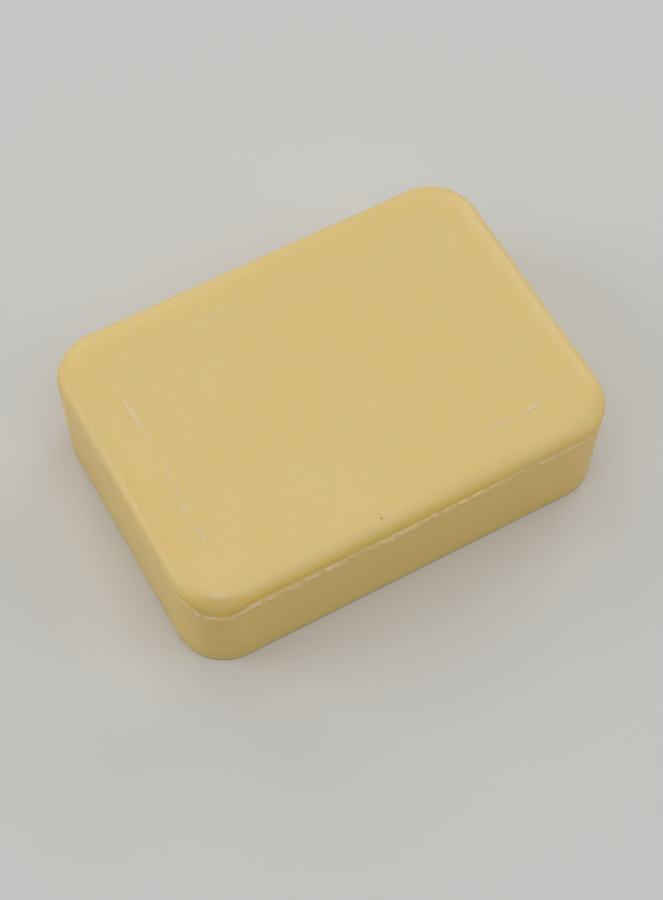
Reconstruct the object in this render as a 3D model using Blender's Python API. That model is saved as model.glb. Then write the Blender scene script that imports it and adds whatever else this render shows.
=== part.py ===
"""A detailing clay bar: one moulded slab of polishing clay, lying flat.

Metres, +Z up. The bar's length runs along X, its width along Y and its thickness along Z.
The origin is the middle of the flat underside, so the bar stands on the plane z = 0.

The bar is pressed in a two-part mould. The parting line runs all round it at PARTING_HEIGHT:
below it a wall leans in towards the underside by the mould's draft, above it a rolled shoulder
climbs to the flat top, and along it the mould leaves a thin flash. A shallow rounded rectangle
is scored into the top. Every level of the bar is the same rounded rectangle, drawn in or out.
"""

import math

import bmesh
import bpy

# Driving dimensions.
LENGTH = 0.0900           # along X, at the parting line
WIDTH = 0.0646            # along Y, at the parting line
HEIGHT = 0.0252           # underside to top
CORNER_RADIUS = 0.0101    # in plan, at the parting line
PARTING_HEIGHT = 0.0223   # underside to parting line

WALL_DRAFT = math.radians(1.3)
BASE_EDGE_RADIUS = 0.0006

FLASH_PROUD = 0.0002      # how far the flash stands out from the wall
FLASH_HEIGHT = 0.0006

SHOULDER_INSET = 0.0070   # parting line to the edge of the flat top, seen from above
SHOULDER_SLOPE = math.radians(75)   # how steeply the shoulder leaves the parting line

SCORE_INSET = 0.0094      # parting line to the middle of the scored line, seen from above
SCORE_WIDTH = 0.0008
SCORE_DEPTH = 0.0002
SCORE_RADIUS = 0.0030     # plan radius of the scored line's corners

# Fineness of the curves.
CORNER_SEGMENTS = 10
BASE_EDGE_SEGMENTS = 3
SHOULDER_SEGMENTS = 10

CLAY_COLOR = (0.72, 0.56, 0.26, 1.0)
CLAY_ROUGHNESS = 0.45
SMOOTH_BELOW = math.radians(25)


def clear_scene():
    for old in list(bpy.data.objects):
        bpy.data.objects.remove(old, do_unlink=True)


def clay_material():
    material = bpy.data.materials.new("clay")
    material.use_nodes = True
    shader = material.node_tree.nodes["Principled BSDF"]
    shader.inputs["Base Color"].default_value = CLAY_COLOR
    shader.inputs["Roughness"].default_value = CLAY_ROUGHNESS
    shader.inputs["Metallic"].default_value = 0.0
    return material


def rounded_rectangle(inset, radius):
    """Points of the bar's outline drawn in by inset, counterclockwise seen from above."""
    corner_x = LENGTH / 2 - inset - radius
    corner_y = WIDTH / 2 - inset - radius
    points = []
    for quarter, (side_x, side_y) in enumerate(((1, 1), (-1, 1), (-1, -1), (1, -1))):
        for step in range(CORNER_SEGMENTS + 1):
            angle = math.pi / 2 * (quarter + step / CORNER_SEGMENTS)
            x = side_x * corner_x + radius * math.cos(angle)
            y = side_y * corner_y + radius * math.sin(angle)
            points.append((x, y))
    return points


def draft_inset(height):
    return (PARTING_HEIGHT - height) * math.tan(WALL_DRAFT)


def base_edge_profile():
    """A quarter round from the underside into the wall."""
    profile = []
    for step in range(BASE_EDGE_SEGMENTS + 1):
        angle = math.pi / 2 * step / BASE_EDGE_SEGMENTS
        height = BASE_EDGE_RADIUS * (1 - math.cos(angle))
        inset = BASE_EDGE_RADIUS * (1 - math.sin(angle))
        profile.append((draft_inset(height) + inset, height))
    return profile


def flash_profile():
    """A thin lip under the parting line, with its edge proud of the wall."""
    foot = PARTING_HEIGHT - FLASH_HEIGHT
    edge = PARTING_HEIGHT - FLASH_HEIGHT / 4
    return [(draft_inset(foot), foot), (-FLASH_PROUD, edge), (0.0, PARTING_HEIGHT)]


def shoulder_profile():
    """A cubic Bezier curve: tightly rounded over the parting line, then easing into the level top."""
    rise = HEIGHT - PARTING_HEIGHT
    handle = rise / 2 / math.sin(SHOULDER_SLOPE)
    start_handle = (handle * math.cos(SHOULDER_SLOPE), handle * math.sin(SHOULDER_SLOPE))
    end_handle = (0.185 * SHOULDER_INSET, rise)
    end = (SHOULDER_INSET, rise)
    profile = []
    for step in range(1, SHOULDER_SEGMENTS + 1):
        t = step / SHOULDER_SEGMENTS
        weights = (3 * (1 - t) ** 2 * t, 3 * (1 - t) * t ** 2, t ** 3)
        inset = weights[0] * start_handle[0] + weights[1] * end_handle[0] + weights[2] * end[0]
        climb = weights[0] * start_handle[1] + weights[1] * end_handle[1] + weights[2] * end[1]
        profile.append((inset, PARTING_HEIGHT + climb))
    return profile


def score_profile():
    """A shallow V groove in the top."""
    return [
        (SCORE_INSET - SCORE_WIDTH / 2, HEIGHT),
        (SCORE_INSET, HEIGHT - SCORE_DEPTH),
        (SCORE_INSET + SCORE_WIDTH / 2, HEIGHT),
    ]


def plan_radius(inset):
    """Corners stay concentric until they are as tight as the scored line's."""
    return max(CORNER_RADIUS - inset, SCORE_RADIUS)


def join_levels(mesh, lower, upper):
    count = len(lower)
    for here in range(count):
        after = (here + 1) % count
        mesh.faces.new((lower[here], lower[after], upper[after], upper[here]))


def clay_bar():
    """The whole bar: its outline stacked level by level, closed by the underside and the top."""
    profile = base_edge_profile() + flash_profile() + shoulder_profile() + score_profile()
    mesh = bmesh.new()
    levels = []
    for inset, height in profile:
        outline = rounded_rectangle(inset, plan_radius(inset))
        levels.append([mesh.verts.new((x, y, height)) for x, y in outline])
    for lower, upper in zip(levels, levels[1:]):
        join_levels(mesh, lower, upper)
    mesh.faces.new(list(reversed(levels[0])))
    mesh.faces.new(levels[-1])

    data = bpy.data.meshes.new("clay_bar")
    mesh.to_mesh(data)
    mesh.free()
    data.shade_smooth()
    data.set_sharp_from_angle(angle=SMOOTH_BELOW)
    data.materials.append(clay_material())
    bar = bpy.data.objects.new("clay_bar", data)
    bpy.context.scene.collection.objects.link(bar)
    return bar


clear_scene()
clay_bar()
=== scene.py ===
"""The looks of the clay bar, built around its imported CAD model.

The bar is one lump of pale yellow polishing clay, so one fine mesh replaces the CAD solid. Small closed
pieces lie on it: torn flash along the parting line, crumbs, the burr of a scored outline on the top, slivers
and a dark grain. Shapes are worked out in millimetres, with +Z up and the bar standing on z = 0, and
new_object turns them into metres.
"""

import math
import random

import bpy
import numpy as np
from mathutils import Matrix, Vector, noise


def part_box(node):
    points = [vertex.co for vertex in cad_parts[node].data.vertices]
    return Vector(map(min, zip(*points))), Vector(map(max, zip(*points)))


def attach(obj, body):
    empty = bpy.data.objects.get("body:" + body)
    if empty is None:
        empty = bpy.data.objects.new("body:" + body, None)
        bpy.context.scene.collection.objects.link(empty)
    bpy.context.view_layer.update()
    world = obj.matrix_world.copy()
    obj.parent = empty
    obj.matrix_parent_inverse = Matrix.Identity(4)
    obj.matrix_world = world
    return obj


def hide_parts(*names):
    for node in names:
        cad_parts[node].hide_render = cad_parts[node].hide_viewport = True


MM = 0.001

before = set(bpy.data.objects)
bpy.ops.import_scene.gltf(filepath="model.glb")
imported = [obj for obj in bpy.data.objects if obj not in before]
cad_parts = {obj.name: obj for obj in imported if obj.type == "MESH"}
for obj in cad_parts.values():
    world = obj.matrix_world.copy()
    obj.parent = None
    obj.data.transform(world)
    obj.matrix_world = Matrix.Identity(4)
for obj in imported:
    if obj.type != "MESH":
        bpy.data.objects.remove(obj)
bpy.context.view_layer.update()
low_corner, high_corner = (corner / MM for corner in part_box("clay_bar"))

# The bar's main sizes: the box of the CAD solid, less the flash that stands out of its sides.
FLASH_PROUD = 0.2
HALF_LENGTH = (high_corner.x - low_corner.x) / 2 - FLASH_PROUD
HALF_WIDTH = (high_corner.y - low_corner.y) / 2 - FLASH_PROUD
HEIGHT = high_corner.z
CORNER_RADIUS = 10.1
PARTING_HEIGHT = 22.3
WALL_DRAFT = math.radians(1.3)
BASE_EDGE = 0.6
SHOULDER_INSET = 7.0
SHOULDER_SLOPE = math.radians(75)
SHOULDER_EASING = 0.185     # the curve's third control point, as a share of the inset: less rolls tighter

# How finely the bar is divided: steps along its outline, and levels from the underside to the top's middle.
CORNER_STEPS = 54
LONG_STEPS = 232
SHORT_STEPS = 148
UNDERSIDE_LEVELS = 12
BASE_EDGE_LEVELS = 6
WALL_LEVELS = 19
SHOULDER_LEVELS = 20
TOP_EDGE_LEVELS = 4
SCORE_LEVELS = 16
CENTRE_LEVELS = 12

# The last level on the top and the underside: half its width, and its corner radius as a share of that.
LAST_HALF_WIDTH = 1.5
LAST_ROUNDING = 0.7

# Unevenness of the surface: (size of the waves, how far they stand out, seed).
WAVES = ((17, 0.05, 1), (6, 0.018, 2), (2.2, 0.007, 3))

# The parting line dips at the front left corner: middle (x, y), depth, the radii where it is deepest and
# where it ends, and how far down the wall it is felt.
DIP_AT = (-40.0, -30.9)
DIP_DEPTH = 1.9
DIP_CORE = 1.5
DIP_RADIUS = 6.5
DIP_REACH = 12

# Flash: a fin along the parting line, and a torn skirt of clay that hangs from it and ends in a lip.
FIN_REACH = 0.05
LIP_THICKNESS = 0.50
SKIRT_LENGTH = 1.5

# Rows of the fin: how proud, how high over the parting line, how chalky. Proud is a share of FIN_REACH, or if
# negative a depth inside the bar. The skirt's rows are shares of its length, counted from SKIRT_START down.
FIN_SECTION = ((-0.30, 0.10, 0.0), (0.55, 0.08, 0.1), (1.0, 0.0, 0.25))
SKIRT_START = 0.12
SKIRT_ROWS = (0.12, 0.3, 0.5, 0.7, 0.86, 0.95, 1.0)

# Flaps of the front skirt: x where each is longest, how far it hangs, and about how wide it is half way down.
FRONT_FLAPS = (
    (-32.2, 1.4, 1.6), (-28.6, 1.1, 2.0), (-24.3, 2.0, 1.8), (-20.0, 1.6, 2.4), (-15.5, 2.4, 2.3),
    (-8.6, 1.4, 2.6), (-4.9, 1.8, 1.9), (0.6, 1.6, 1.4), (4.9, 1.8, 1.5), (11.2, 1.5, 1.2),
    (14.7, 1.2, 1.1), (20.1, 1.1, 1.4), (24.6, 0.9, 1.4), (29.8, 1.7, 2.0),
)

# Height of the band of painted shade, a deeper colour over the front of the parting line, and where it starts
# to fade.
PAINTED_SHADE_BAND = 2.0
PAINTED_SHADE_FADE = 0.3

# Scored outline on the top: a shallow groove that wanders about its inset, with a burr on its outer side.
SCORE_INSET = 9.4
SCORE_RADIUS = 3.0
SCORE_ZONE = 0.9
SCORE_WANDER = 0.30
SCORE_WIDTH = 0.34
SCORE_DEPTH = 0.10
BURR_WIDTH = 0.52
BURR_HEIGHT = 0.12
BURR_LEAST = 0.16           # no burr where the outline is smoother than this
BURR_SHORTEST = 4           # nor where it would be this many points long or less

# Rough stretches of the scored outline: middle of the stretch (x, y), half its length, how rough it is.
SCORE_STRETCHES = (
    (-35.9, 9.0, 4.6, 1.0), (-35.9, -5.6, 2.6, 1.0), (-35.9, -11.5, 2.2, 0.5), (-35.9, -16.6, 2.0, 0.5),
    (-35.9, 16.8, 3.6, 0.25), (-30.0, 22.6, 6.0, 0.14), (-14.0, 22.6, 5.0, 0.2), (6.0, 22.6, 5.0, 0.15),
    (28.8, 22.6, 3.4, 0.14), (35.0, 20.6, 1.2, 0.3), (35.3, 15.5, 3.4, 0.2), (35.3, -12.5, 4.0, 0.25),
    (35.3, -20.0, 1.2, 0.8), (30.0, -22.9, 2.0, 0.75), (23.4, -22.9, 3.2, 0.35), (-2.0, -22.6, 4.0, 0.12),
)

# Dents, and two raised pale patches on the shoulder at the left end: middle (x, y, z), direction, half its
# length, half its width, how proud, how chalky.
MARKS = (
    ((-39.0, -29.1, 24.5), (1.0, -0.5, 0.0), 1.8, 0.6, 0.05, 0.6),
    ((-43.7, -6.1, 24.3), (0.2, 1.0, 0.0), 0.7, 0.5, 0.04, 0.5),
    ((-28.2, -32.1, 9.9), (1.0, 0.0, 0.0), 0.55, 0.45, -0.15, 0.10),
    ((4.6, -16.1, 25.2), (1.0, 0.3, 0.0), 0.8, 0.55, -0.03, 0.15),
    ((-27.0, -21.4, 25.2), (1.0, 1.0, 0.0), 0.9, 0.5, -0.03, 0.12),
    ((17.0, 12.0, 25.2), (1.0, -0.5, 0.0), 1.4, 0.6, -0.03, 0.05),
    ((-12.0, 32.2, 14.0), (1.0, 0.0, 0.4), 1.2, 0.6, -0.10, 0.10),
    ((44.9, 8.0, 12.0), (0.0, 1.0, -0.3), 1.0, 0.7, -0.10, 0.10),
    ((-44.9, 2.0, 16.5), (0.0, 1.0, 0.2), 0.8, 0.5, -0.08, 0.10),
)

# Slivers of clay on the top: middle (x, y), heading in degrees, length, width.
SLIVERS = (
    (40.8, -4.8, 120, 1.6, 0.16), (40.1, -8.1, 112, 2.2, 0.22), (-12.5, 8.5, 20, 1.8, 0.12),
    (21.0, -6.0, 65, 1.3, 0.11), (4.8, -16.3, 35, 0.9, 0.14), (-22.0, -9.0, 80, 1.2, 0.10),
)

# Loose crumbs: how many, and the range of their sizes. Larger ones stick to the front at these x.
FLASH_CRUMBS = 26
FLASH_CRUMB_SIZES = (0.06, 0.13)
LARGE_CRUMBS_AT = (20.1, 20.6, 28.8, 29.2, 29.7)
LARGE_CRUMB_SIZE = 0.2
SCORE_CRUMBS = 34
SCORE_CRUMB_SIZES = (0.05, 0.12)

DARK_GRAIN_AT = (-6.0, -29.6)
DARK_GRAIN_SIZE = 0.15


def smoothstep(start, end, value):
    t = np.clip((value - start) / (end - start), 0.0, 1.0)
    return t * t * (3.0 - 2.0 * t)


def noise_at(points, scale, seed):
    """Smooth noise of about -1 to 1 at each point, with features about scale across."""
    points = np.asarray(points)
    if points.shape[-1] == 2:
        points = np.concatenate([points, np.zeros(points.shape[:-1] + (1,))], -1)
    shifted = points.reshape(-1, 3) / scale + np.array([seed * 17.3, seed * 5.1, seed * 29.7])
    return np.array([noise.noise(Vector(p)) for p in shifted]).reshape(points.shape[:-1]) * 1.6


# ---------------------------------------------------------------- the bar's surface


def outline(inset, finer=1):
    """The bar's rounded rectangle drawn in by inset: its points and outward directions.

    It starts in the middle of the +X end and runs counterclockwise, so point k and point -k
    mirror each other across the bar's long middle line.
    """
    radius = min(max(CORNER_RADIUS - inset, SCORE_RADIUS), LAST_ROUNDING * (HALF_WIDTH - inset))
    centre_x = HALF_LENGTH - inset - radius
    centre_y = HALF_WIDTH - inset - radius
    arcs = []
    for quarter, (side_x, side_y) in enumerate(((1, 1), (-1, 1), (-1, -1), (1, -1))):
        angle = np.linspace(0, math.pi / 2, CORNER_STEPS * finer + 1) + quarter * math.pi / 2
        facing = np.stack([np.cos(angle), np.sin(angle)], 1)
        arcs.append((np.array([side_x * centre_x, side_y * centre_y]) + radius * facing, facing))
    points, facings = [], []
    for quarter, (arc, facing) in enumerate(arcs):
        following = arcs[(quarter + 1) % 4][0]
        steps = (SHORT_STEPS if quarter % 2 else LONG_STEPS) * finer
        along = np.linspace(0, 1, steps + 1)[1:-1, None]
        points += [arc, arc[-1] + (following[0] - arc[-1]) * along]
        facings += [facing, np.repeat(facing[-1:], steps - 1, 0)]
    half_end = SHORT_STEPS * finer // 2
    return np.roll(np.concatenate(points), half_end, 0), np.roll(np.concatenate(facings), half_end, 0)


def shoulder_curve(count):
    """(inset, height) up the shoulder, a cubic Bezier: tightly rounded at first, then easing to level."""
    rise = HEIGHT - PARTING_HEIGHT
    handle = rise / 2 / math.sin(SHOULDER_SLOPE)
    control = np.array([
        [0.0, 0.0],
        [handle * math.cos(SHOULDER_SLOPE), handle * math.sin(SHOULDER_SLOPE)],
        [SHOULDER_EASING * SHOULDER_INSET, rise],
        [SHOULDER_INSET, rise],
    ])
    t = np.linspace(0, 1, count + 1)[1:, None]
    curve = (1 - t) ** 3 * control[0] + 3 * (1 - t) ** 2 * t * control[1]
    curve += 3 * (1 - t) * t ** 2 * control[2] + t ** 3 * control[3]
    return curve + np.array([0.0, PARTING_HEIGHT])


def wall_inset(height):
    return (PARTING_HEIGHT - height) * math.tan(WALL_DRAFT)


def levels():
    """(inset, height) of every level, from the middle of the underside round to the middle of the top."""
    middle = HALF_WIDTH - LAST_HALF_WIDTH
    flat_edge = wall_inset(0) + BASE_EDGE
    under = [(inset, 0.0) for inset in np.linspace(middle, flat_edge, UNDERSIDE_LEVELS, endpoint=False)]
    base_edge = []
    for angle in np.linspace(0, math.pi / 2, BASE_EDGE_LEVELS):
        height = BASE_EDGE * (1 - math.cos(angle))
        base_edge.append((wall_inset(height) + BASE_EDGE * (1 - math.sin(angle)), height))
    wall = [(wall_inset(z), z) for z in np.linspace(BASE_EDGE, PARTING_HEIGHT, WALL_LEVELS + 1)[1:]]
    score_start = SCORE_INSET - SCORE_ZONE
    score_end = SCORE_INSET + SCORE_ZONE
    top = []
    for start, end, count in (
        (SHOULDER_INSET, score_start, TOP_EDGE_LEVELS),
        (score_start, score_end, SCORE_LEVELS),
        (score_end, middle, CENTRE_LEVELS),
    ):
        top += [(inset, HEIGHT) for inset in np.linspace(start, end, count + 1)[1:]]
    return np.array(under + base_edge + wall + list(shoulder_curve(SHOULDER_LEVELS)) + top)


def bar_grid():
    """Points, outward normals, insets and heights of the smooth bar, one row of points for each level."""
    profile = levels()
    ahead = np.gradient(profile, axis=0)
    ahead /= np.linalg.norm(ahead, axis=1)[:, None]
    points, normals = [], []
    for (inset, height), (inward, upward) in zip(profile, ahead):
        place, facing = outline(inset)
        points.append(np.column_stack([place, np.full(len(place), height)]))
        normals.append(np.column_stack([facing * upward, np.full(len(place), inward)]))
    return np.array(points), np.array(normals), profile[:, 0], profile[:, 1]


def unevenness(points):
    """How far the surface stands proud at each point: slow waves, with finer ones on them."""
    return sum(height * noise_at(points, size, seed) for size, height, seed in WAVES)


def add_unevenness(points, normals, heights):
    """Moves the surface by its unevenness, which fades out at the edge that the bar rests on."""
    lift = unevenness(points)
    resting = smoothstep(0.2, 2.0, heights)[:, None]
    under = -np.abs(lift) * (heights[:, None] <= 0)
    return points + normals * (lift * resting + under)[..., None]


def parting_dip(points):
    """How far the parting line dips at each point."""
    away = np.linalg.norm(points[..., :2] - np.array(DIP_AT), axis=-1)
    return DIP_DEPTH * (1 - smoothstep(DIP_CORE, DIP_RADIUS, away))


def add_dip(points, heights):
    """Draws the wall and the shoulder down with the parting line where it dips."""
    below = smoothstep(PARTING_HEIGHT - DIP_REACH, PARTING_HEIGHT, heights)
    above = 1 - smoothstep(PARTING_HEIGHT, HEIGHT - 0.2, heights)
    points = points.copy()
    points[..., 2] -= parting_dip(points) * (below * above)[:, None]
    return points


def score_strength(line):
    """How rough the scored outline is at each of its points, from the list of stretches."""
    strength = np.zeros(len(line))
    for x, y, half_length, amount in SCORE_STRETCHES:
        distance = np.linalg.norm(line - np.array([x, y]), axis=1)
        reach = 1 - smoothstep(half_length * 0.75, half_length * 1.15, distance)
        strength = np.maximum(strength, amount * reach)
    return strength


def score_wander(line):
    """How far inward the scored outline strays from its inset at each of its points."""
    wander = SCORE_WANDER * noise_at(line, 7.5, 21)
    return wander + 0.16 * noise_at(line, 2.0, 22) + 0.07 * noise_at(line, 0.8, 26)


def score_dashes(line):
    """0 to 1 along the scored outline: it is torn in short dashes."""
    return smoothstep(-0.25, 0.45, noise_at(line, 2.3, 23) + 0.35 * noise_at(line, 0.8, 24) + 0.4)


def add_score(points, insets, heights):
    """Cuts the scored groove into the top. Returns the new points and how chalky each one is."""
    line, _ = outline(SCORE_INSET)
    strength = score_strength(line)
    across = insets[:, None] - SCORE_INSET - score_wander(line)
    on_top = (heights[:, None] >= HEIGHT - 1e-4) & (np.abs(across) < SCORE_ZONE)
    groove = np.exp(-(across / (0.5 * SCORE_WIDTH)) ** 2) * on_top
    smear = np.exp(-((across + 0.5 * SCORE_WIDTH) / SCORE_WIDTH) ** 2) * on_top
    points = points.copy()
    points[..., 2] -= SCORE_DEPTH * (0.15 + 0.85 * strength) * groove
    return points, 0.7 * strength * (0.35 + 0.65 * score_dashes(line)) * smear


def add_marks(points, normals):
    """Presses in the dents and raises the pale patches. Returns the new points and how chalky each one is."""
    chalk = np.zeros(points.shape[:2])
    points = points.copy()
    for middle, direction, half_length, half_width, lift, chalky in MARKS:
        away = points - np.array(middle)
        direction = np.array(direction) / np.linalg.norm(direction)
        along = (away @ direction) / half_length
        across = np.linalg.norm(away - (away @ direction)[..., None] * direction, axis=-1) / half_width
        reach = np.clip(1 - along ** 2 - across ** 2, 0, 1) ** 1.5
        points += normals * (lift * reach)[..., None]
        chalk = np.maximum(chalk, chalky * reach ** 0.5 * (reach > 0))
    return points, chalk


def painted_shade_amount(heights):
    """How far each point has the painted shade: a narrow band of deeper colour over the front of the parting
    line, weaker to the right.
    """
    place, facing = outline(0.0)
    above = heights - PARTING_HEIGHT
    band = smoothstep(-0.1, 0.0, above) * (1 - smoothstep(PAINTED_SHADE_FADE, PAINTED_SHADE_BAND, above))
    fading = 1 - 0.5 * smoothstep(0, 30, place[:, 0])
    return band[:, None] * smoothstep(-0.1, 0.8, -facing[:, 1]) * fading


def bar_faces(heights, count):
    """Quads between the levels, and the faces that close the last ones: a cap at each end, quads between.

    Returns the faces, and for each whether it lies below the parting line.
    """
    faces, below = [], []
    here = np.arange(count)
    after = (here + 1) % count
    for row in range(len(heights) - 1):
        low, high = row * count, (row + 1) * count
        faces.extend(np.stack([low + here, low + after, high + after, high + here], 1).tolist())
        below += [heights[row] < PARTING_HEIGHT - 1e-4] * count
    top = (len(heights) - 1) * count
    half = count // 2
    cap = SHORT_STEPS // 2 + CORNER_STEPS // 3
    closing = [[i % count for i in range(end - cap, end + cap + 1)] for end in (0, half)]
    closing += [[k, k + 1, count - k - 1, count - k] for k in range(cap, half - cap)]
    for ring in closing:
        faces.append([top + i for i in ring])
        faces.append(ring[::-1])
        below += [False, True]
    return faces, below


def new_object(name, points, faces, material, smooth=True):
    """A mesh object from points in millimetres."""
    mesh = bpy.data.meshes.new(name)
    mesh.from_pydata([tuple(p) for p in np.asarray(points) * MM], [], faces)
    mesh.validate()
    if smooth:
        mesh.shade_smooth()
    mesh.materials.append(material)
    piece = bpy.data.objects.new(name, mesh)
    bpy.context.scene.collection.objects.link(piece)
    return piece


def set_value(piece, name, values):
    """Stores a value at each point for the clay material to read: how chalky it is, or how much painted shade
    it takes.
    """
    attribute = piece.data.attributes.new(name, "FLOAT", "POINT")
    attribute.data.foreach_set("value", np.ravel(values).astype(np.float32))


def belongs(piece):
    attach(piece, "root")


def clay_bar(upper_material, lower_painted_shade_material):
    """The whole bar, with one tint of the clay above the parting line and a deeper one below it, which is
    painted shade of the walls.
    """
    points, normals, insets, heights = bar_grid()
    points = add_unevenness(points, normals, heights)
    points = add_dip(points, heights)
    points, mark_chalk = add_marks(points, normals)
    points, score_chalk = add_score(points, insets, heights)
    faces, below = bar_faces(heights, points.shape[1])
    bar = new_object("bar_body", points.reshape(-1, 3), faces, upper_material)
    # Faces below the parting line take the deeper tint, painted shade of the walls.
    bar.data.materials.append(lower_painted_shade_material)
    bar.data.polygons.foreach_set("material_index", np.array(below, dtype=np.int32))
    set_value(bar, "chalk", np.maximum(mark_chalk, score_chalk))
    # Painted shade: a band of deeper colour over the front of the parting line.
    set_value(bar, "painted_shade", painted_shade_amount(heights))
    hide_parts("clay_bar")
    belongs(bar)


# ---------------------------------------------------------------- flash and other small pieces of clay


def flap_length(place):
    """How far the skirt's flaps hang at each point of the parting line: each grows slowly, ends steeply."""
    length = np.zeros(len(place))
    for x, reach, width in FRONT_FLAPS:
        past = (place[:, 0] - x) / width
        shape = np.where(past < 0, smoothstep(-1.3, 0, past), 1 - smoothstep(0, 0.5, past))
        length = np.maximum(length, reach * shape * (place[:, 1] < 0))
    return length


def skirt_length(place, facing):
    """How far the torn skirt hangs below the parting line at each point round it."""
    in_front = smoothstep(-0.2, 0.9, -facing[:, 1])
    torn = np.clip(0.6 + 0.35 * noise_at(place, 3.1, 11) + 0.25 * noise_at(place, 0.9, 12), 0.1, 1.2)
    to_the_right = smoothstep(-14, 4, place[:, 0])
    short = SKIRT_LENGTH * (0.2 + in_front * (0.8 - 0.5 * to_the_right)) * torn
    ragged = 0.10 * noise_at(place, 0.5, 13) * in_front
    flaps = flap_length(place) * (0.85 + 0.15 * torn) * in_front
    return np.clip(np.maximum(short, flaps) + ragged, 0.05, 3)


def flash_fullness(place, facing):
    """0 where the flash has broken off, 1 where it is whole, at each point round the parting line."""
    in_front = smoothstep(-0.2, 0.9, -facing[:, 1])
    patches = 0.85 + 0.35 * noise_at(place, 3.6, 14) + 0.2 * noise_at(place, 0.8, 15)
    thinning = 1 - 0.3 * smoothstep(-2, 20, place[:, 0]) * in_front
    thinning -= 0.5 * smoothstep(33, 42, place[:, 0])
    return np.clip(patches * (0.35 + 0.65 * in_front) * thinning, 0, 1.1)


def flash(material):
    """A closed strip round the parting line: a fin, and a skirt that hangs from it to a torn lip."""
    place, facing = outline(0.0, finer=2)
    skirt = skirt_length(place, facing)
    fullness = flash_fullness(place, facing)
    wall = unevenness(np.column_stack([place, np.full(len(place), PARTING_HEIGHT - 0.5)]))
    parting = PARTING_HEIGHT - parting_dip(place)
    rows, chalk = [], []
    for proud, up, chalky in FIN_SECTION:
        out = np.where(proud > 0, wall + FIN_REACH * proud * fullness, proud)
        rows.append((out, np.full(len(place), up)))
        chalk.append(chalky * fullness)
    for share in SKIRT_ROWS:
        drop = SKIRT_START + share * skirt
        crumble = 1 + 0.35 * noise_at(np.column_stack([place, drop]), 0.7, 16)
        standing = FIN_REACH + (LIP_THICKNESS - FIN_REACH) * share
        rows.append((wall + standing * fullness * crumble - 0.04 * (1 - fullness), -drop))
        dry = smoothstep(-0.5, 0.6, noise_at(np.column_stack([place, drop]), 1.3, 17))
        chalk.append(fullness * (0.15 + 0.5 * dry))
    rows.append((np.full(len(place), -0.20), -(SKIRT_START + skirt) + 0.02))
    chalk.append(fullness * 0.22)
    points = []
    for out, up in rows:
        drafted = out - wall_inset(PARTING_HEIGHT + np.minimum(up, 0))
        points.append(np.column_stack([place + facing * drafted[:, None], parting + up]))
    count, around = len(place), len(rows)
    faces = []
    for row in range(around):
        low, high = row * count, (row + 1) % around * count
        for k in range(count):
            after = (k + 1) % count
            faces.append([low + k, high + k, high + after, low + after])
    strip = new_object("parting_flash", np.concatenate(points), faces, material)
    set_value(strip, "chalk", chalk)
    belongs(strip)


def surface_height(x, y):
    """Height of the bar's top or shoulder over (x, y)."""
    past = np.abs([x, y]) - np.array([HALF_LENGTH, HALF_WIDTH]) + CORNER_RADIUS
    inset = CORNER_RADIUS - np.linalg.norm(np.maximum(past, 0)) - min(past.max(), 0)
    curve = shoulder_curve(SHOULDER_LEVELS)
    return np.interp(inset, curve[:, 0], curve[:, 1]) + unevenness(np.array([x, y, HEIGHT]))


def ribbon(path, across, width, height):
    """A closed sliver along path, of the width and height given at each point, a little sunk in."""
    section = ((-0.5, -0.5), (-0.42, 0.45), (0.05, 1.0), (0.40, 0.5), (0.5, -0.5))
    points = []
    for place, aside, wide, high in zip(path, across, width, height):
        points += [place + aside * side * wide + np.array([0, 0, rise * high]) for side, rise in section]
    size = len(section)
    faces = [list(range(size)), [len(points) - 1 - k for k in range(size)]]
    for i in range(len(path) - 1):
        for k in range(size):
            after = (k + 1) % size
            faces.append([i * size + k, (i + 1) * size + k, (i + 1) * size + after, i * size + after])
    return points, faces


def lump(centre, size, rng):
    """A small closed irregular lump, flattened a little."""
    rings, around = 5, 8
    points = [centre + np.array([0, 0, size * 0.7])]
    for ring in range(1, rings):
        tilt = math.pi * ring / rings
        for k in range(around):
            turn = 2 * math.pi * (k + 0.5 * (ring % 2)) / around
            direction = np.array([math.sin(tilt) * math.cos(turn), math.sin(tilt) * math.sin(turn),
                                  math.cos(tilt) * 0.7])
            points.append(centre + direction * size * rng.uniform(0.75, 1.2))
    points.append(centre - np.array([0, 0, size * 0.7]))
    faces = [[0, 1 + k, 1 + (k + 1) % around] for k in range(around)]
    for ring in range(rings - 2):
        first = 1 + ring * around
        for k in range(around):
            after = (k + 1) % around
            faces.append([first + k, first + around + k, first + around + after, first + after])
    last = 1 + (rings - 2) * around
    faces += [[last + (k + 1) % around, last + k, len(points) - 1] for k in range(around)]
    return points, faces


def joined(name, shapes, material, chalk):
    """One object from several closed shapes, all equally chalky."""
    points, faces = [], []
    for shape_points, shape_faces in shapes:
        faces += [[len(points) + k for k in face] for face in shape_faces]
        points += shape_points
    piece = new_object(name, points, faces, material)
    set_value(piece, "chalk", np.full(len(points), chalk))
    belongs(piece)


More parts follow.
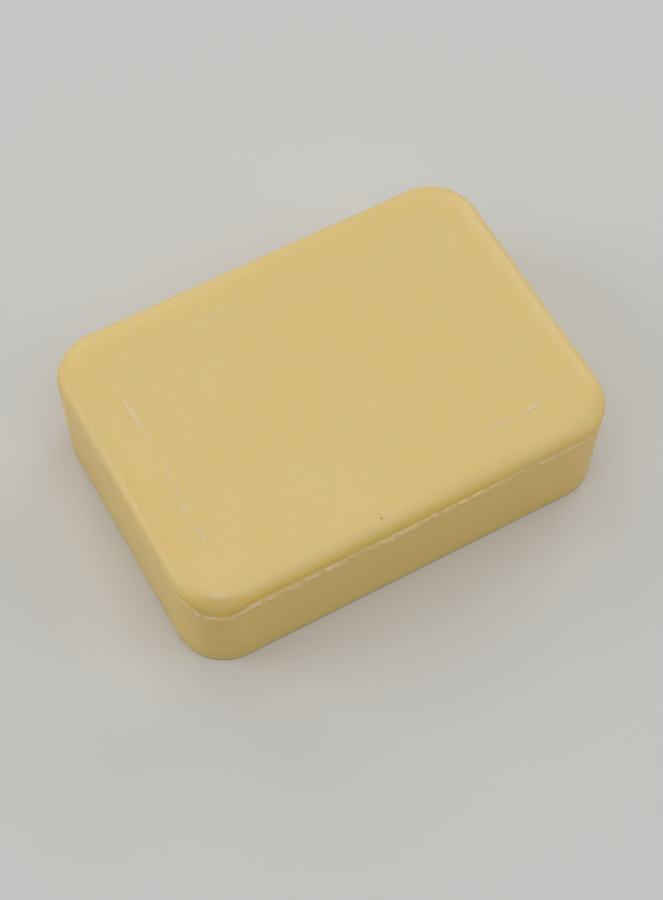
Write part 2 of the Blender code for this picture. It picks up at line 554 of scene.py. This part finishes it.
def score_burrs(material):
    """Ragged ridges of torn clay along the outer side of the scored outline, wherever it is rough."""
    line, facing = outline(SCORE_INSET, finer=3)
    inward = -np.column_stack([facing, np.zeros(len(facing))])
    fullness = score_strength(line) * score_dashes(line)
    fullness *= 0.75 + 0.35 * noise_at(line, 0.6, 25)
    offset = score_wander(line) - 0.6 * SCORE_WIDTH
    shapes = []
    start = None
    for k, amount in enumerate(np.append(fullness, 0.0)):
        if amount > BURR_LEAST and start is None:
            start = k
        elif amount <= BURR_LEAST and start is not None:
            if k - start > BURR_SHORTEST:
                run = slice(start, k)
                flat = line[run] + inward[run, :2] * offset[run, None]
                path = [np.array([x, y, surface_height(x, y)]) for x, y in flat]
                taper = np.sin(np.linspace(0.12, math.pi - 0.12, k - start)) ** 0.5
                shapes.append(ribbon(path, inward[run], BURR_WIDTH * fullness[run] ** 0.6 * taper,
                                     BURR_HEIGHT * fullness[run] * taper))
            start = None
    joined("score_burrs", shapes, material, 0.85)


def slivers(material):
    """Thin slivers of clay that lie on the top."""
    shapes = []
    for x, y, heading, length, width in SLIVERS:
        turn = math.radians(heading)
        ahead = np.array([math.cos(turn), math.sin(turn), 0.0])
        aside = np.array([-ahead[1], ahead[0], 0.0])
        reach = np.linspace(-0.5, 0.5, 15)
        flat = [np.array([x, y, 0.0]) + ahead * length * r + aside * length * 0.25 * r * r for r in reach]
        path = [np.array([p[0], p[1], surface_height(p[0], p[1])]) for p in flat]
        taper = np.sqrt(np.clip(1 - (2 * reach) ** 2, 0.02, 1))
        taper *= 0.8 + 0.3 * noise_at(np.array(path), 0.4, 31)
        shapes.append(ribbon(path, [aside] * len(path), width * taper, 0.4 * width * taper))
    joined("slivers", shapes, material, 0.7)


def crumbs(material):
    """Loose grains of clay that stick to the torn flash and to the scored outline."""
    rng = random.Random(41)
    place, facing = outline(-0.05)
    front = [k for k in range(len(place)) if facing[k, 1] < -0.7]
    shapes = []
    for _ in range(FLASH_CRUMBS):
        k = rng.choice(front)
        drop = rng.uniform(0.1, SKIRT_LENGTH)
        size = rng.uniform(*FLASH_CRUMB_SIZES)
        shapes.append(lump(np.array([*place[k], PARTING_HEIGHT - drop]), size, rng))
    for x in LARGE_CRUMBS_AT:
        centre = np.array([x, -HALF_WIDTH - 0.1, PARTING_HEIGHT - 0.35])
        shapes.append(lump(centre, LARGE_CRUMB_SIZE, rng))
    line, _ = outline(SCORE_INSET)
    rough = [k for k, amount in enumerate(score_strength(line)) if amount > 0.35]
    for _ in range(SCORE_CRUMBS):
        x, y = line[rng.choice(rough)]
        x += rng.uniform(-0.5, 0.5)
        y += rng.uniform(-0.5, 0.5)
        centre = np.array([x, y, surface_height(x, y)])
        shapes.append(lump(centre, rng.uniform(*SCORE_CRUMB_SIZES), rng))
    joined("crumbs", shapes, material, 0.7)


def dark_grain(material):
    x, y = DARK_GRAIN_AT
    centre = np.array([x, y, surface_height(x, y) + DARK_GRAIN_SIZE * 0.2])
    points, faces = lump(centre, DARK_GRAIN_SIZE, random.Random(5))
    belongs(new_object("dark_grain", points, faces, material))


# ---------------------------------------------------------------- materials


def new_material(name):
    material = bpy.data.materials.new(name)
    material.use_nodes = True
    nodes = material.node_tree.nodes
    return material, nodes, material.node_tree.links, nodes["Principled BSDF"]


def noise_node(nodes, links, where, scale, detail, roughness=0.5):
    """A noise texture whose features are about scale millimetres across."""
    texture = nodes.new("ShaderNodeTexNoise")
    texture.inputs["Scale"].default_value = 1.0 / (scale * MM)
    texture.inputs["Detail"].default_value = detail
    texture.inputs["Roughness"].default_value = roughness
    links.new(where.outputs["Object"], texture.inputs["Vector"])
    return texture.outputs["Fac"]


def mixed(nodes, links, share, first, second):
    """first mixed with second by share. Each is an output socket, a colour or a number."""
    node = nodes.new("ShaderNodeMix")
    node.data_type = "RGBA"
    for name, value in (("Factor", share), ("A", first), ("B", second)):
        socket = next(s for s in node.inputs if s.name == name and s.enabled)
        if isinstance(value, bpy.types.NodeSocket):
            links.new(value, socket)
        else:
            socket.default_value = value
    return next(s for s in node.outputs if s.enabled)


def ramp(nodes, links, value, low, high, to_low=0.0, to_high=1.0):
    """value, from low to high, taken smoothly to to_low to to_high."""
    node = nodes.new("ShaderNodeMapRange")
    node.interpolation_type = "SMOOTHSTEP"
    for name, number in (("From Min", low), ("From Max", high), ("To Min", to_low), ("To Max", to_high)):
        node.inputs[name].default_value = number
    links.new(value, node.inputs["Value"])
    return node.outputs["Result"]


def bumped(nodes, links, height, distance, normal=None):
    """A surface normal bent by height, whose full range is distance millimetres deep."""
    node = nodes.new("ShaderNodeBump")
    node.inputs["Distance"].default_value = distance * MM
    links.new(height, node.inputs["Height"])
    if normal is not None:
        links.new(normal, node.inputs["Normal"])
    return node.outputs["Normal"]


# The clay above the parting line, below it (a deeper tint, painted shade of the walls), in the band of
# painted shade over the front of it, and where it is dry and torn.
CLAY_TOP = (0.88, 0.675, 0.285)
CLAY_WALL_PAINTED_SHADE = (0.97, 0.66, 0.19)
CLAY_PAINTED_SHADE_BAND = (0.99, 0.65, 0.12, 1.0)
CLAY_CHALK = (0.97, 0.80, 0.61, 1.0)
DEEP_TINT = (0.99, 0.96, 0.88)
PALE_TINT = (1.01, 1.03, 1.12)

# How much light goes through the clay, how deep in millimetres, and the share of that depth in each colour.
TRANSLUCENCY = 0.8
TRANSLUCENT_DEPTH = 4.0
TRANSLUCENT_COLOURS = (1.0, 0.55, 0.2)


def tinted(colour, tint=(1, 1, 1)):
    return tuple(channel * share for channel, share in zip(colour, tint)) + (1.0,)


def stored_value(nodes, name):
    """The value that set_value stored at each point under this name."""
    node = nodes.new("ShaderNodeAttribute")
    node.attribute_name = name
    return node.outputs["Fac"]


def clay_material(name, clay, translucency):
    """Waxy clay: a warm yellow with faint clouds, paler where it is chalky and deeper in the band of painted
    shade.
    """
    material, nodes, links, shader = new_material(name)
    where = nodes.new("ShaderNodeTexCoord")
    clouds = noise_node(nodes, links, where, 26, 3)
    patches = noise_node(nodes, links, where, 5, 4, 0.6)
    grain = noise_node(nodes, links, where, 0.45, 3, 0.65)
    peel = noise_node(nodes, links, where, 1.6, 2)

    deep = tinted(clay, DEEP_TINT)
    pale = tinted(clay, PALE_TINT)
    colour = mixed(nodes, links, ramp(nodes, links, clouds, 0.35, 0.7, 0, 0.6), tinted(clay), deep)
    colour = mixed(nodes, links, ramp(nodes, links, patches, 0.45, 0.75, 0, 0.35), colour, pale)
    colour = mixed(nodes, links, ramp(nodes, links, grain, 0.62, 0.8, 0, 0.25), colour, pale)
    colour = mixed(nodes, links, stored_value(nodes, "chalk"), colour, CLAY_CHALK)
    # Painted shade: the band of deeper colour over the front of the parting line.
    colour = mixed(nodes, links, stored_value(nodes, "painted_shade"), colour, CLAY_PAINTED_SHADE_BAND)
    links.new(colour, shader.inputs["Base Color"])

    links.new(ramp(nodes, links, patches, 0.3, 0.7, 0.33, 0.38), shader.inputs["Roughness"])
    surface = bumped(nodes, links, peel, 0.03)
    surface = bumped(nodes, links, grain, 0.02, surface)
    links.new(surface, shader.inputs["Normal"])

    shader.inputs["IOR"].default_value = 1.5
    shader.inputs["Subsurface Weight"].default_value = translucency
    shader.inputs["Subsurface Radius"].default_value = TRANSLUCENT_COLOURS
    shader.inputs["Subsurface Scale"].default_value = TRANSLUCENT_DEPTH * MM
    return material


def grain_material():
    material, nodes, links, shader = new_material("dark_grain")
    where = nodes.new("ShaderNodeTexCoord")
    flecks = noise_node(nodes, links, where, 0.08, 2)
    colour = mixed(nodes, links, flecks, (0.05, 0.035, 0.02, 1), (0.16, 0.11, 0.05, 1))
    links.new(colour, shader.inputs["Base Color"])
    shader.inputs["Roughness"].default_value = 0.6
    return material


# ---------------------------------------------------------------- stage


# Floor, in millimetres from its middle to its sides.
FLOOR_HALF = 3000.0
FLOOR_COLOR = (0.728, 0.728, 0.712, 1.0)
WORLD_STRENGTH = 0.05

# Name, azimuth and elevation in degrees, distance and side in metres, radiance. Azimuth 0 is behind the bar.
LIGHTS = (
    ("overhead", 0, 90, 1.4, 1.6, 1.15),
    ("back", 0, 28, 1.0, 0.65, 1.3),
    ("back_right", 60, 28, 1.4, 0.9, 1.7),
    ("right", 130, 28, 1.0, 0.65, 1.6),
    ("back_left", 300, 28, 1.2, 0.78, 2.1),
    ("front", 180, 60, 1.4, 0.9, 0.85),
    ("front_left", 250, 45, 1.4, 0.9, 1.0),
)


def floor():
    corners = [(x * FLOOR_HALF, y * FLOOR_HALF, 0) for x, y in ((-1, -1), (1, -1), (1, 1), (-1, 1))]
    material, nodes, links, shader = new_material("floor")
    where = nodes.new("ShaderNodeTexCoord")
    darker = tuple(channel * 0.985 for channel in FLOOR_COLOR[:3]) + (1.0,)
    colour = mixed(nodes, links, noise_node(nodes, links, where, 40, 2), FLOOR_COLOR, darker)
    links.new(colour, shader.inputs["Base Color"])
    shader.inputs["Roughness"].default_value = 0.75
    shader.inputs["Specular IOR Level"].default_value = 0.2
    new_object("floor", corners, [[0, 1, 2, 3]], material, smooth=False)


def soft_light(name, azimuth, elevation, distance, side, radiance):
    light = bpy.data.lights.new(name, "AREA")
    light.shape = "DISK"
    light.size = side
    light.energy = radiance * math.pi * math.pi * side * side / 4
    lamp = bpy.data.objects.new(name, light)
    turn, lift = math.radians(azimuth), math.radians(elevation)
    away = Vector((math.sin(turn) * math.cos(lift), math.cos(turn) * math.cos(lift), math.sin(lift)))
    lamp.location = away * distance
    lamp.rotation_euler = away.to_track_quat("Z", "Y").to_euler()
    bpy.context.scene.collection.objects.link(lamp)


def surroundings():
    world = bpy.data.worlds.new("studio")
    world.use_nodes = True
    world.node_tree.nodes["Background"].inputs["Color"].default_value = (1.0, 1.0, 1.0, 1.0)
    world.node_tree.nodes["Background"].inputs["Strength"].default_value = WORLD_STRENGTH
    bpy.context.scene.world = world
    bpy.context.scene.view_settings.view_transform = "Standard"


# The camera looks at its target from the front left. Its azimuth is measured from the -Y direction.
CAMERA_AZIMUTH = math.radians(-30.1)
CAMERA_ELEVATION = math.radians(60.76)
CAMERA_ROLL = math.radians(1.23)
CAMERA_DISTANCE = 424.4
CAMERA_TARGET = Vector((-0.09, -0.92, 0.0))
CAMERA_LENS = 86.4


def camera():
    data = bpy.data.cameras.new("camera")
    data.lens = CAMERA_LENS
    data.sensor_width = 36.0
    data.clip_start = 0.01
    eye = bpy.data.objects.new("camera", data)
    level = math.cos(CAMERA_ELEVATION)
    back = Vector((
        math.sin(CAMERA_AZIMUTH) * level,
        -math.cos(CAMERA_AZIMUTH) * level,
        math.sin(CAMERA_ELEVATION),
    ))
    right = Vector((0, 0, 1)).cross(back).normalized()
    up = back.cross(right)
    turned_right = right * math.cos(CAMERA_ROLL) + up * math.sin(CAMERA_ROLL)
    turned_up = up * math.cos(CAMERA_ROLL) - right * math.sin(CAMERA_ROLL)
    place = (CAMERA_TARGET + back * CAMERA_DISTANCE) * MM
    turned = Matrix((turned_right, turned_up, back)).transposed().to_4x4()
    eye.matrix_world = Matrix.Translation(place) @ turned
    bpy.context.scene.collection.objects.link(eye)
    bpy.context.scene.camera = eye


camera()
floor()
surroundings()
for setting in LIGHTS:
    soft_light(*setting)

clay_top = clay_material("clay_top", CLAY_TOP, TRANSLUCENCY)
# The walls' deeper, warmer tint is painted shade, standing in for the dimmer light on them.
clay_wall_painted_shade = clay_material("clay_wall_painted_shade", CLAY_WALL_PAINTED_SHADE, TRANSLUCENCY)
clay_bar(clay_top, clay_wall_painted_shade)

# Torn pieces are thin, so no light is carried through them. They take the walls' tint, which is painted
# shade.
torn_clay = clay_material("torn_clay", CLAY_WALL_PAINTED_SHADE, 0.0)
flash(torn_clay)
score_burrs(torn_clay)
slivers(torn_clay)
crumbs(torn_clay)
dark_grain(grain_material())
